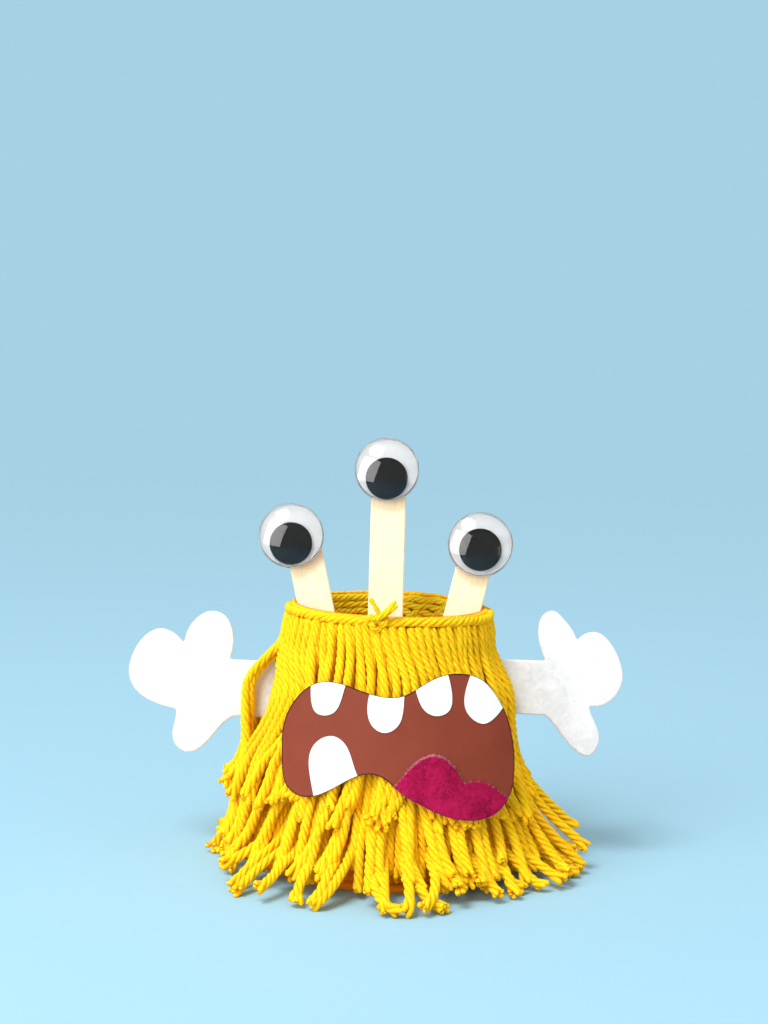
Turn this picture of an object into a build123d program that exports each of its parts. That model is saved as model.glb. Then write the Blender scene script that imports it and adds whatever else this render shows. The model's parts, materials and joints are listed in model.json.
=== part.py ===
from build123d import *
from math import cos, radians, sin
import os

os.makedirs("parts", exist_ok=True)

# Craft stick puppet: an upside-down paper cup in a coat of yarn fringe, with three sticks that carry
# googly eyes, a card mouth and two felt arms. Millimetres, +Z up, the face looks towards -Y.
# The origin is on the cup's axis, in the plane that its mouth stands on.

# Paper cup, mouth down
CUP_HEIGHT = 73.0
CUP_TOP_R = 27.1
CUP_LIP_R = 35.2
CUP_WALL = 0.4
LIP_ROLL_R = 1.3
LIP_FLAT = 0.1
BASE_DEPTH = 10.0
BASE_FLANGE = 4.5

# Yarn and fringe
YARN_R = 1.2
HEADER_R = 1.3
STRAND_COUNT = 64
STRAND_GAP = 0.1
KNOT_R = 2.4
TAIL_LENGTH = 6.5
TAIL_LEANS = (-24, 20)
LONG_TOP_Z = 69.0
LONG_ELBOW_Z = 18.0
LONG_BEND = 14.0
LONG_END_Z = 1.4
LONG_REACH = 56.0
SHORT_TOP_Z = 68.5
SHORT_ELBOW_Z = 31.0
SHORT_BEND = 12.0
SHORT_FLARE = 3.5
SHORT_END_Z = 20.0
UNEVEN_CUT = 2.0
LINING_DEPTH = 8.5
LINING_THICK = 2.2
LINING_ARC = 100.0

# Craft sticks: one whole stick in the middle, and the two halves of another at the sides
STICK_LENGTH = 114.0
STICK_WIDTH = 10.0
STICK_THICK = 2.0
STICK_EDGE = 0.3
STICK_Y = -2.5
LEAN_BACK = 14.0
SLIT_PLAY = 0.3

# Googly eyes
EYE_R = 9.2
EYE_BACK = 0.8
DOME_HEIGHT = 4.2
DOME_WALL = 0.4
DOME_SIDE = 1.6
PUPIL_R = 6.0
PUPIL_THICK = 0.9
PUPIL_PLAY = 0.2
GLUE_R = 3.5
GLUE_THICK = 0.4

# Mouth, teeth and tongue
MOUTH_BEND_R = 60.0
MOUTH_LEAN = 7.5
MOUTH_Y = -37.3
MOUTH_Z = 40.0
MOUTH_X = 3.0
CARD_THICK = 0.4
TOOTH_THICK = 0.25
TONGUE_THICK = 1.2
SHELL_HEIGHT = 60.0
PRISM_DEPTH = 20.0

# Arms
FELT_THICK = 1.0
ARM_HINGE_X = 38.0
ARM_HINGE_GAP = 0.4
ARM_SLIT_PLAY = 0.2
ARM_SLIT_DEPTH = 6.0
TAB_ARC = 22.0


def cup_radius(z):
    """The outside radius of the cup's cone at height z."""
    slope = (CUP_LIP_R - CUP_TOP_R) / (CUP_HEIGHT - LIP_ROLL_R)
    return CUP_TOP_R + slope * (CUP_HEIGHT - z)


def wall_band(low, high, outer_inset, inner_inset):
    """Corners of a band that follows the cup's wall, by its distances inside the outer surface."""
    return [
        (cup_radius(low) - outer_inset, low),
        (cup_radius(high) - outer_inset, high),
        (cup_radius(high) - inner_inset, high),
        (cup_radius(low) - inner_inset, low),
    ]


def save(part, node):
    part.label = node
    export_step(part, f"parts/{node}.step")


# ---------------------------------------------------------------- planes of the sticks
# The three sticks lie in one plane that leans back. In it, x runs across the puppet and y runs up,
# with its origin level with the cup's upper end.
stick_normal = Vector(0, -cos(radians(LEAN_BACK)), sin(radians(LEAN_BACK)))
stick_plane = Plane(origin=(0, STICK_Y, CUP_HEIGHT), x_dir=(1, 0, 0), z_dir=stick_normal)

# For each stick: where it crosses the upper end, its tilt (positive leans to the left), its eye's
# height along it, how far the eye sits to the right of its middle, how far the loose pupil hangs below
# the eye's middle, the stick's top end and its length.
STICKS = {
    "left": (-21.2, 14.0, 19.75, -2.8, 2.3, 25.6, STICK_LENGTH / 2),
    "center": (-1.1, 0.6, 38.65, -0.7, 2.55, 45.0, STICK_LENGTH),
    "right": (21.0, -12.5, 18.45, 0.2, 1.5, 25.3, STICK_LENGTH / 2),
}


def moved(plane, x, y, z=0, turn=0):
    """A copy of a plane, moved in its own directions and then turned about its normal."""
    return Plane(plane.location * Pos(x, y, z) * Rot(0, 0, turn))


def along_stick(cross_x, tilt):
    """The stick's own plane: x across its width, y up its length, z out of its front face."""
    return moved(stick_plane, cross_x, 0, turn=tilt)


# ---------------------------------------------------------------- paper cup
# Arms: side, sleeve's lower and upper edges
ARM_SLEEVES = {"left": (-1, 39.0, 55.3), "right": (1, 42.7, 58.4)}


def make_cup_wall():
    with BuildPart() as wall:
        with BuildSketch(Plane.XZ):
            Polygon(*wall_band(LIP_ROLL_R, CUP_HEIGHT, 0, CUP_WALL), align=None)
            with Locations((CUP_LIP_R, LIP_ROLL_R - LIP_FLAT)):
                Circle(LIP_ROLL_R)
            with Locations((CUP_LIP_R, -LIP_ROLL_R)):
                Rectangle(4 * LIP_ROLL_R, 2 * LIP_ROLL_R, mode=Mode.SUBTRACT)
        revolve(axis=Axis.Z)
        for side, low, high in ARM_SLEEVES.values():
            middle = (low + high) / 2
            with Locations((side * cup_radius(middle), 0, middle)):
                Box(
                    ARM_SLIT_DEPTH,
                    FELT_THICK + 2 * ARM_SLIT_PLAY,
                    high - low + 2 * ARM_SLIT_PLAY,
                    mode=Mode.SUBTRACT,
                )
    return wall.part


def make_cup_base():
    """The disc set into the upper end, with its flange down the wall and three slits."""
    top = CUP_HEIGHT - BASE_DEPTH
    with BuildPart() as base:
        with BuildSketch(Plane.XZ):
            Polygon(*wall_band(top, top + BASE_FLANGE, CUP_WALL, 2 * CUP_WALL), align=None)
            with BuildLine():
                Polyline(
                    (0, top - CUP_WALL),
                    (cup_radius(top - CUP_WALL) - CUP_WALL, top - CUP_WALL),
                    (cup_radius(top) - CUP_WALL, top),
                    (0, top),
                    close=True,
                )
            make_face()
        revolve(axis=Axis.Z)
        for cross_x, tilt, *_ in STICKS.values():
            own = along_stick(cross_x, tilt)
            with BuildSketch(Plane(origin=own.origin, x_dir=own.x_dir, z_dir=own.y_dir)):
                Rectangle(STICK_WIDTH + 2 * SLIT_PLAY, STICK_THICK + 2 * SLIT_PLAY)
            extrude(amount=-2 * BASE_DEPTH, mode=Mode.SUBTRACT)
    return base.part


# ---------------------------------------------------------------- yarn
def radial_plane(angle):
    """The upright plane through the axis at an angle: x runs outwards and y runs up."""
    outward = (cos(radians(angle)), sin(radians(angle)), 0)
    return Plane(origin=(0, 0, 0), x_dir=outward, z_dir=(outward[1], -outward[0], 0))


def make_strand(angle, points, bend):
    """One strand of yarn that hangs in its radial plane through points of (radius, height)."""
    with BuildPart() as strand:
        with BuildLine(radial_plane(angle)) as route:
            FilletPolyline(*points, radius=bend)
        with BuildSketch(Plane(origin=route.wire() @ 0, z_dir=route.wire() % 0)):
            Circle(YARN_R)
        sweep()
    return strand.part


def strand_angles():
    """Evenly spaced angles round the cup, leaving out the two where the arms come through."""
    step = 360 / STRAND_COUNT
    return [n * step for n in range(STRAND_COUNT) if n % (STRAND_COUNT // 2) != 0]


def make_long_fringe():
    """The strands against the cup, which reach the floor and splay out over it."""
    hang = YARN_R + STRAND_GAP
    strands = []
    for angle in strand_angles():
        reach = LONG_REACH + UNEVEN_CUT * (2 * sin(radians(5 * angle)) + 1.5 * cos(radians(3 * angle)))
        points = [
            (cup_radius(LONG_TOP_Z) + hang, LONG_TOP_Z),
            (cup_radius(LONG_ELBOW_Z) + hang, LONG_ELBOW_Z),
            (reach, LONG_END_Z),
        ]
        strands.append(make_strand(angle, points, LONG_BEND))
    return Compound(children=strands)


def make_short_fringe():
    """The outer strands, which end below the mouth."""
    hang = 3 * YARN_R + 2 * STRAND_GAP
    strands = []
    for angle in strand_angles():
        end_z = SHORT_END_Z + UNEVEN_CUT * sin(radians(7 * angle))
        points = [
            (cup_radius(SHORT_TOP_Z) + hang, SHORT_TOP_Z),
            (cup_radius(SHORT_ELBOW_Z) + hang, SHORT_ELBOW_Z),
            (cup_radius(end_z) + hang + SHORT_FLARE, end_z),
        ]
        strands.append(make_strand(angle, points, SHORT_BEND))
    return Compound(children=strands)


def make_header_cord():
    """The cord round the upper end that the fringe hangs from, tied at the front with two tails."""
    ring_z = CUP_HEIGHT - HEADER_R - STRAND_GAP
    ring_r = cup_radius(ring_z - HEADER_R) + HEADER_R + STRAND_GAP
    knot_y = -ring_r - HEADER_R
    with BuildPart() as cord:
        with BuildSketch(Plane.XZ):
            with Locations((ring_r, ring_z)):
                Circle(HEADER_R)
        revolve(axis=Axis.Z)
        with Locations((0, knot_y, ring_z)):
            Sphere(KNOT_R)
        for lean in TAIL_LEANS:
            up = (sin(radians(lean)), 0, cos(radians(lean)))
            with BuildSketch(Plane(origin=(0, knot_y, ring_z), z_dir=up)):
                Circle(YARN_R)
            extrude(amount=KNOT_R + TAIL_LENGTH)
    return cord.part


def make_inner_yarn():
    """The matted yarn ends inside the recess, against the back of its wall."""
    top = CUP_HEIGHT - STRAND_GAP
    inset = 2 * CUP_WALL + STRAND_GAP
    with BuildPart() as lining:
        with BuildSketch(radial_plane(90 - LINING_ARC / 2)):
            Polygon(*wall_band(top - LINING_DEPTH, top, inset, inset + LINING_THICK), align=None)
        revolve(axis=Axis.Z, revolution_arc=LINING_ARC)
    return lining.part


# ---------------------------------------------------------------- mouth
# The card's plane leans back with the cup. In it, x runs across the puppet and y runs up.
mouth_normal = Vector(0, -cos(radians(MOUTH_LEAN)), sin(radians(MOUTH_LEAN)))
mouth_plane = Plane(origin=(0, MOUTH_Y, MOUTH_Z), x_dir=(1, 0, 0), z_dir=mouth_normal)

MOUTH_OUTLINE = [
    (-27.6, 0), (-26.6, 6.5), (-23.3, 12.2), (-18.5, 15.6), (-13, 15.8), (-6.5, 13.9), (-1, 12.7),
    (4, 13), (9, 15.8), (14, 18.6), (19.5, 19.5), (25, 18.2), (29, 14.4), (32.6, 8), (34.5, 1),
    (35, -7), (34, -12.4), (30, -17.4), (24, -19), (17, -18), (9, -14.6), (3.5, -11.2),
    (0, -8.4), (-4.8, -7.6), (-10.5, -10), (-16, -13.2), (-22, -14.4), (-25.8, -12), (-27.3, -6),
]

# Each tooth's free edge, from one end outside the card's outline to the other
TOOTH_EDGES = {
    "tooth_upper_1": [(-20.3, 17), (-20, 10.5), (-18.5, 7.7), (-16.3, 7.2), (-14, 8), (-12.2, 11),
                      (-10.6, 16.5)],
    "tooth_upper_2": [(-4, 15), (-5, 9.5), (-3.4, 4.9), (-0.2, 3.4), (3.2, 5.3), (4.5, 9.5), (4.7, 15)],
    "tooth_upper_3": [(7, 16.5), (8.3, 12.8), (10.4, 9.4), (13.7, 8.3), (16.7, 9.8), (17.4, 12.6),
                      (15.6, 20.5)],
    "tooth_upper_4": [(22.6, 21), (20.9, 15), (21, 10.5), (23.2, 7.6), (26.2, 6.5), (29, 8), (32.5, 13)],
    "tooth_lower": [(-18.2, -15.5), (-19.7, -8.5), (-19.3, -1.5), (-17, 1), (-13.5, 1.8), (-11, 0.4),
                    (-8.4, -4.5), (-6, -9.5)],
}

# The tongue's free edge has a notch between its two humps
TONGUE_LEFT_HUMP = [
    (1.5, -12), (6, -6.8), (10.5, -2.9), (13.5, -2.2), (16.5, -3.4), (19.3, -6.2), (21.1, -9.4),
]
TONGUE_RIGHT_HUMP = [(21.1, -9.4), (24, -8.8), (27, -9.1), (30, -10.8), (35.5, -14.2)]
TONGUE_FOOT = [(35.5, -14.2), (36, -22), (4, -22), (1.5, -12)]


def bend_shell(lift, thickness):
    """A tube round the card's bend, from lift to lift plus thickness outside the card's inner face."""
    foot = moved(mouth_plane, MOUTH_X, -SHELL_HEIGHT / 2, -MOUTH_BEND_R)
    inner = MOUTH_BEND_R - CARD_THICK + lift
    with BuildPart() as shell:
        with BuildSketch(Plane(origin=foot.origin, x_dir=foot.x_dir, z_dir=foot.y_dir)):
            Circle(inner + thickness)
            Circle(inner, mode=Mode.SUBTRACT)
        extrude(amount=SHELL_HEIGHT)
    return shell.part


def outline_prism(curves, straight=None):
    """A prism through the bend, from the smooth curves and straight run of a closed outline."""
    with BuildPart() as prism:
        with BuildSketch(mouth_plane):
            with BuildLine():
                for points in curves:
                    Spline(*points, periodic=straight is None)
                if straight is not None:
                    Polyline(*straight)
            make_face()
        extrude(amount=PRISM_DEPTH, both=True)
    return prism.part


def make_bent_piece(prism, lift, thickness):
    """A sheet cut to the prism's outline and trimmed to the card's, bent round the card's curve."""
    with BuildPart() as piece:
        add(bend_shell(lift, thickness))
        add(outline_prism([MOUTH_OUTLINE]), mode=Mode.INTERSECT)
        if prism is not None:
            add(prism, mode=Mode.INTERSECT)
    return piece.part


# ---------------------------------------------------------------- arms
# Each hand's outline, in (x, z): upper lobe, big lobe and lower lobe, which meet in notches
HAND_LOBES = {
    "left": [
        [(-45, 55.3), (-44.1, 60), (-44.7, 64.5), (-47, 68), (-50.7, 69.1), (-54.8, 67), (-57.5, 63),
         (-58.3, 59.4)],
        [(-58.3, 59.4), (-61.3, 62.3), (-65.2, 63.5), (-69.6, 61.2), (-72.9, 56), (-73.9, 50.5),
         (-72, 45.8), (-67.5, 42.5), (-60.1, 40.4)],
        [(-60.1, 40.4), (-60.4, 36.5), (-60.9, 32.8), (-59.5, 29.5), (-56.4, 28), (-52.9, 29.3),
         (-48.5, 34.2), (-43.1, 39)],
    ],
    "right": [
        [(45.3, 58.4), (43.3, 63.3), (42.8, 67.5), (44, 71.5), (46.6, 72.9), (50, 70.6), (52.9, 67),
         (54.1, 64.4)],
        [(54.1, 64.4), (56.5, 66.7), (59.8, 67.1), (63.6, 64.2), (66.7, 58.8), (67.6, 54), (66, 49.3),
         (62.8, 46.4), (58.3, 45.9)],
        [(58.3, 45.9), (59.6, 42.4), (61.5, 38), (61.2, 34), (58.7, 31.3), (55.3, 32.5), (50.6, 37.3),
         (45.5, 42.7)],
    ],
}


def make_arm_root(side, low, high):
    """The sleeve's inner end: through the cup's slit, with a glued tab folded back inside."""
    tab_out = CUP_WALL + STRAND_GAP
    tab_corners = [(side * r, z) for r, z in wall_band(low, high, tab_out, tab_out + FELT_THICK)]
    inner_x = cup_radius(high) - tab_out - FELT_THICK / 2
    outer_x = ARM_HINGE_X - ARM_HINGE_GAP
    with BuildPart() as root:
        with BuildSketch(Plane.XZ):
            Polygon(*tab_corners, align=None)
        revolve(axis=Axis.Z, revolution_arc=side * TAB_ARC)
        with BuildSketch(Plane.XZ):
            with Locations((side * (inner_x + outer_x) / 2, (low + high) / 2)):
                Rectangle(outer_x - inner_x, high - low)
        extrude(amount=FELT_THICK / 2, both=True)
    return root.part


def make_arm(name, side, low, high):
    """The free part of the sleeve and the three-lobed hand, cut from one piece of felt."""
    start_x = side * (ARM_HINGE_X + ARM_HINGE_GAP)
    lobes = HAND_LOBES[name]
    with BuildPart() as arm:
        with BuildSketch(Plane.XZ):
            with BuildLine():
                for lobe in lobes:
                    Spline(*lobe)
                Polyline(lobes[2][-1], (start_x, low), (start_x, high), lobes[0][0])
            make_face()
        extrude(amount=FELT_THICK / 2, both=True)
    return arm.part


# ---------------------------------------------------------------- sticks and eyes
def make_stick(plane, top, length):
    """A flat stick with a round top end; a whole one has a round lower end too."""
    whole = length == STICK_LENGTH
    with BuildPart() as stick:
        with BuildSketch(plane):
            with Locations((0, top - STICK_LENGTH / 2)):
                SlotOverall(STICK_LENGTH, STICK_WIDTH, rotation=90)
            if not whole:
                with Locations((0, top - length - STICK_LENGTH / 2)):
                    Rectangle(2 * STICK_WIDTH, STICK_LENGTH, mode=Mode.SUBTRACT)
        extrude(amount=STICK_THICK / 2, both=True)
        flats = stick.faces().filter_by(Axis(plane.origin, plane.z_dir))
        chamfer(flats.edges(), STICK_EDGE)
    return stick.part


def disc(plane, radius, thickness):
    with BuildPart() as piece:
        with BuildSketch(plane):
            Circle(radius)
        extrude(amount=thickness)
    return piece.part


def make_dome(plane):
    """The clear cover: a short upright side under a shallow round cap."""
    cap = DOME_HEIGHT - DOME_SIDE
    cap_r = (EYE_R**2 + cap**2) / (2 * cap)
    inner_cap_r = cap_r - DOME_WALL
    inner_edge = EYE_R - DOME_WALL
    inner_side = DOME_HEIGHT - cap_r + (inner_cap_r**2 - inner_edge**2) ** 0.5
    half_profile = Plane(origin=plane.origin, x_dir=plane.x_dir, z_dir=-plane.y_dir)
    with BuildPart() as dome:
        with BuildSketch(half_profile):
            with BuildLine():
                Line((inner_edge, 0), (EYE_R, 0))
                Line((EYE_R, 0), (EYE_R, DOME_SIDE))
                RadiusArc((EYE_R, DOME_SIDE), (0, DOME_HEIGHT), -cap_r)
                Line((0, DOME_HEIGHT), (0, DOME_HEIGHT - DOME_WALL))
                RadiusArc((0, DOME_HEIGHT - DOME_WALL), (inner_edge, inner_side), inner_cap_r)
                Line((inner_edge, inner_side), (inner_edge, 0))
            make_face()
        revolve(axis=Axis(plane.origin, plane.z_dir))
    return dome.part


def make_eye(name, plane, height, shift, pupil_drop):
    """A googly eye on the front of a stick: glue, white back, loose pupil and clear dome."""
    glue_plane = moved(plane, 0, height, STICK_THICK / 2)
    back_plane = moved(plane, shift, height, STICK_THICK / 2 + GLUE_THICK)
    dome_plane = back_plane.offset(EYE_BACK)
    # the pupil hangs straight down the leaning plane, whatever the stick's tilt
    pupil_center = dome_plane.offset(PUPIL_PLAY).origin - stick_plane.y_dir * pupil_drop
    pupil_plane = Plane(origin=pupil_center, x_dir=plane.x_dir, z_dir=plane.z_dir)
    save(disc(glue_plane, GLUE_R, GLUE_THICK), f"eye_glue_{name}")
    save(disc(back_plane, EYE_R, EYE_BACK), f"eye_back_{name}")
    save(disc(pupil_plane, PUPIL_R, PUPIL_THICK), f"pupil_{name}")
    save(make_dome(dome_plane), f"eye_dome_{name}")


# ---------------------------------------------------------------- build everything
save(make_cup_wall(), "cup_wall")
save(make_cup_base(), "cup_base")
save(make_header_cord(), "header_cord")
save(make_inner_yarn(), "inner_yarn")
save(make_long_fringe(), "fringe_long")
save(make_short_fringe(), "fringe_short")

save(make_bent_piece(None, 0, CARD_THICK), "mouth_card")
for node, edge in TOOTH_EDGES.items():
    tooth = outline_prism([edge], [edge[-1], edge[0]])
    save(make_bent_piece(tooth, CARD_THICK, TOOTH_THICK), node)
tongue = outline_prism([TONGUE_LEFT_HUMP, TONGUE_RIGHT_HUMP], TONGUE_FOOT)
save(make_bent_piece(tongue, CARD_THICK, TONGUE_THICK), "tongue")

for name, (side, low, high) in ARM_SLEEVES.items():
    save(make_arm_root(side, low, high), f"arm_root_{name}")
    save(make_arm(name, side, low, high), f"arm_{name}")

for name, (cross_x, tilt, eye_height, eye_shift, pupil_drop, top, length) in STICKS.items():
    own_plane = along_stick(cross_x, tilt)
    save(make_stick(own_plane, top, length), f"stick_{name}")
    make_eye(name, own_plane, eye_height, eye_shift, pupil_drop)
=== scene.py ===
"""Craft stick puppet: a yarn monster on an upside-down paper cup, dressed round its CAD frame.

Lengths are in millimetres up to where meshes are made, when MM turns them into metres. The camera, the
lamps, the floor and what comes from the frame are in metres.
"""

import json
import math
import random
from functools import partial

import bmesh
import bpy
import numpy as np
from mathutils import Matrix, Quaternion, Vector


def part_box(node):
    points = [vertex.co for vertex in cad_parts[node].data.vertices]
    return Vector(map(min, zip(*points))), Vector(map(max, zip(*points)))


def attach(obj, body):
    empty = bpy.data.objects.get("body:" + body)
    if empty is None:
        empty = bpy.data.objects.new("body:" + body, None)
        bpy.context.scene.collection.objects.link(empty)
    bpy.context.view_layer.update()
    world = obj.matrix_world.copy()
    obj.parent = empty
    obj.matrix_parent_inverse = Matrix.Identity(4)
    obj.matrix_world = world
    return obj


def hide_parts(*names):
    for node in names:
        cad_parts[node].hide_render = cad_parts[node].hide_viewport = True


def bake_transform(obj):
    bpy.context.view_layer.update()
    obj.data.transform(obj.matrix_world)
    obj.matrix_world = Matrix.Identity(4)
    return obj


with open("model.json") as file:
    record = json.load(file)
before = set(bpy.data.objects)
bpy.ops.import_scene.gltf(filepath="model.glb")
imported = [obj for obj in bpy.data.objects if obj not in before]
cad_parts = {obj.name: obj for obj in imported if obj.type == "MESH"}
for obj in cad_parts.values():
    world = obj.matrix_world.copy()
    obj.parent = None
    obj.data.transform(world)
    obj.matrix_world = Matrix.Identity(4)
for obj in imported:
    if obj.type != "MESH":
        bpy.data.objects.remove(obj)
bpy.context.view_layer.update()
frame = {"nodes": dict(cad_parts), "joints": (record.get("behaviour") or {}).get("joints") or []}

MM = 0.001
nodes = frame["nodes"]
joints = {joint["name"]: joint for joint in frame["joints"]}
STICKS = ("left", "center", "right")

# ---------------------------------------------------------------- sizes of the cup and the card
cup_high = np.array(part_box("cup_wall")[1]) / MM
CUP_HEIGHT = cup_high[2]
LIP_R = cup_high[0]
LIP_ROLL_R = 1.3
CUP_FOOT_R = LIP_R - LIP_ROLL_R
CUP_TOP_R = 27.1
HEADER_Z = 71.7
LOWEST_YARN_Z = 0.05

# the mouth card is bent round an axis behind CARD_MIDDLE_X and leans back; at height CARD_Z the middle of
# its front is at CARD_Y, and its lower edge at CARD_LOW_Z has a notch
CARD_BEND_R = 60.0
CARD_MIDDLE_X = 3.0
CARD_Y = -37.3
CARD_Z = 40.0
CARD_TOP_Z = 60.0
CARD_LOW_Z = 19.5
CARD_HALF_WIDTH = 31.0
NOTCH_X = -6.0
NOTCH_WIDTH = 7.0
NOTCH_RISE = 9.0
CARD_LEAN = math.radians(7.5)
CARD_FRONT = np.array((0, -math.cos(CARD_LEAN), math.sin(CARD_LEAN)))
CARD_EDGE_R = 0.14
TONGUE_HUMP_X = 12.0
TONGUE_FIBRES = 520


def cup_radius(z):
    """The outside radius of the cup's cone at height z."""
    return CUP_TOP_R + (CUP_FOOT_R - CUP_TOP_R) * (CUP_HEIGHT - z) / (CUP_HEIGHT - LIP_ROLL_R)


# ---------------------------------------------------------------- camera, light and floor
CAMERA_PLACE = (-0.0026, -0.450, 0.1294)
CAMERA_PITCH = math.radians(3.83)
CAMERA_ROLL = math.radians(2.2)
CAMERA_LENS = 55.7

LAMP_WHITE = (1, 0.985, 0.96)
LAMP_TARGET = (0, 0, 0.07)
LAMP_SPREAD = math.radians(140)

SKY_POWER = 2.3
SKY_ANGLE = math.radians(24)
SKY_TURN = (math.radians(27), math.radians(-21), 0)

FLOOR_HALF = 6.0
FLOOR_BLUE = (0.33, 0.58, 0.73, 1)
FLOOR_IN_MIRRORS = (0.02, 0.05, 0.065, 1)
FLOOR_SCATTER = (0.50, 0.52, 0.52, 1)
ROOM_LIGHT = (0.58, 0.56, 0.54, 1)
ROOM_IN_MIRRORS = (0.05, 0.06, 0.07, 1)
ROOM_BLUE = (0.383, 0.635, 0.78, 1)


def make_camera():
    """A camera just above the puppet's eyes, looking slightly down and tilted a little."""
    pitch = CAMERA_PITCH
    roll = CAMERA_ROLL
    forward = Vector((0, math.cos(pitch), -math.sin(pitch)))
    right = Vector((1, 0, 0))
    up = right.cross(forward)
    rolled_right = right * math.cos(roll) + up * math.sin(roll)
    rolled_up = up * math.cos(roll) - right * math.sin(roll)
    data = bpy.data.cameras.new("camera")
    data.lens = CAMERA_LENS
    data.sensor_width = 36.0
    data.clip_start = 0.01
    camera = bpy.data.objects.new("camera", data)
    bpy.context.scene.collection.objects.link(camera)
    axes = Matrix((rolled_right, rolled_up, -forward)).transposed()
    camera.matrix_world = Matrix.Translation(CAMERA_PLACE) @ axes.to_4x4()
    bpy.context.scene.camera = camera


def make_area_light(name, place, size, power, roll=0, mirrored=True):
    data = bpy.data.lights.new(name, "AREA")
    data.shape = "RECTANGLE"
    data.size, data.size_y = size
    data.energy = power
    data.color = LAMP_WHITE
    data.spread = LAMP_SPREAD
    light = bpy.data.objects.new(name, data)
    bpy.context.scene.collection.objects.link(light)
    light.location = place
    light.visible_glossy = mirrored
    direction = Vector(LAMP_TARGET) - Vector(place)
    turned = direction.to_track_quat("-Z", "Y") @ Quaternion((0, 0, 1), math.radians(roll))
    light.rotation_euler = turned.to_euler()


def mirror_rays(tree):
    """1 for rays that a glossy surface reflects, and 0 for all others."""
    ray = add_node(tree, "ShaderNodeLightPath").outputs
    return math_node(tree, "SUBTRACT", ray["Is Reflection Ray"], ray["Is Diffuse Ray"])


def make_stage():
    """A large plain pale floor, the soft lights and the pale surroundings.

    The floor and room scatter a neutral light, and are darker in mirrors than they look.
    """
    mesh = bpy.data.meshes.new("floor")
    half = FLOOR_HALF
    corners = [(-half, -half, 0), (half, -half, 0), (half, half, 0), (-half, half, 0)]
    mesh.from_pydata(corners, [], [(0, 1, 2, 3)])
    floor = bpy.data.objects.new("floor", mesh)
    bpy.context.scene.collection.objects.link(floor)
    material, tree, shader = new_material("floor_pale")
    seen = mix(tree, mirror_rays(tree), FLOOR_BLUE, FLOOR_IN_MIRRORS)
    scattered = add_node(tree, "ShaderNodeLightPath").outputs["Is Diffuse Ray"]
    tree.links.new(mix(tree, scattered, seen, FLOOR_SCATTER), shader.inputs["Base Color"])
    shader.inputs["Roughness"].default_value = 0.8
    shader.inputs["Specular IOR Level"].default_value = 0.2
    mesh.materials.append(material)

    world = bpy.data.worlds.new("pale_room")
    world.use_nodes = True
    tree = world.node_tree
    background = tree.nodes["Background"]
    lit = mix(tree, mirror_rays(tree), ROOM_LIGHT, ROOM_IN_MIRRORS)
    seen = add_node(tree, "ShaderNodeLightPath").outputs["Is Camera Ray"]
    tree.links.new(mix(tree, seen, lit, ROOM_BLUE), background.inputs["Color"])
    bpy.context.scene.world = world

    make_area_light("window", (-0.42, -0.52, 0.33), (0.46, 0.56), 2.1, roll=-8)
    make_area_light("bounce", (0.55, -0.45, 0.18), (0.30, 0.22), 0.25, mirrored=False)
    sky = bpy.data.lights.new("sky", "SUN")
    sky.energy = SKY_POWER
    sky.angle = SKY_ANGLE
    lamp = bpy.data.objects.new("sky", sky)
    lamp.rotation_euler = SKY_TURN
    bpy.context.scene.collection.objects.link(lamp)
    bpy.context.scene.view_settings.view_transform = "Standard"


# ---------------------------------------------------------------- shader helpers
def new_material(name):
    material = bpy.data.materials.new(name)
    material.use_nodes = True
    tree = material.node_tree
    return material, tree, tree.nodes["Principled BSDF"]


def add_node(tree, kind, inputs=None, **settings):
    """A shader node with its settings, whose inputs are each another node's output or a value."""
    node = tree.nodes.new(kind)
    for key, value in settings.items():
        setattr(node, key, value)
    for key, value in (inputs or {}).items():
        if hasattr(value, "is_output"):
            tree.links.new(value, node.inputs[key])
        else:
            node.inputs[key].default_value = value
    return node


def noise(tree, vector, scale, detail=3.0, roughness=0.5, distortion=0.0):
    inputs = {"Vector": vector, "Scale": scale, "Detail": detail}
    inputs |= {"Roughness": roughness, "Distortion": distortion}
    return add_node(tree, "ShaderNodeTexNoise", inputs).outputs["Fac"]


def stretched(tree, vector, scale):
    return add_node(tree, "ShaderNodeMapping", {"Vector": vector, "Scale": scale}).outputs["Vector"]


def ramp(tree, value, stops):
    node = add_node(tree, "ShaderNodeValToRGB", {"Fac": value})
    elements = node.color_ramp.elements
    while len(elements) < len(stops):
        elements.new(0.5)
    for element, (position, color) in zip(elements, stops):
        element.position = position
        element.color = (*color, 1)
    return node.outputs["Color"]


def mix(tree, factor, a, b):
    """Mixes two colours; a Mix node's factor and colours are its inputs 0, 6 and 7."""
    return add_node(tree, "ShaderNodeMix", {0: factor, 6: a, 7: b}, data_type="RGBA").outputs[2]


def math_node(tree, operation, a, b):
    return add_node(tree, "ShaderNodeMath", {0: a, 1: b}, operation=operation).outputs[0]


def blend_sum(tree, a, b, share):
    """The sum of two values, with share of the first and the rest of the second."""
    first = math_node(tree, "MULTIPLY", a, share)
    second = math_node(tree, "MULTIPLY", b, 1 - share)
    return math_node(tree, "ADD", first, second)


def bump(tree, height, strength, distance, normal=None):
    inputs = {"Height": height, "Strength": strength, "Distance": distance}
    if normal is not None:
        inputs["Normal"] = normal
    return add_node(tree, "ShaderNodeBump", inputs).outputs["Normal"]


def object_space(tree):
    return add_node(tree, "ShaderNodeTexCoord").outputs["Object"]


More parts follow.
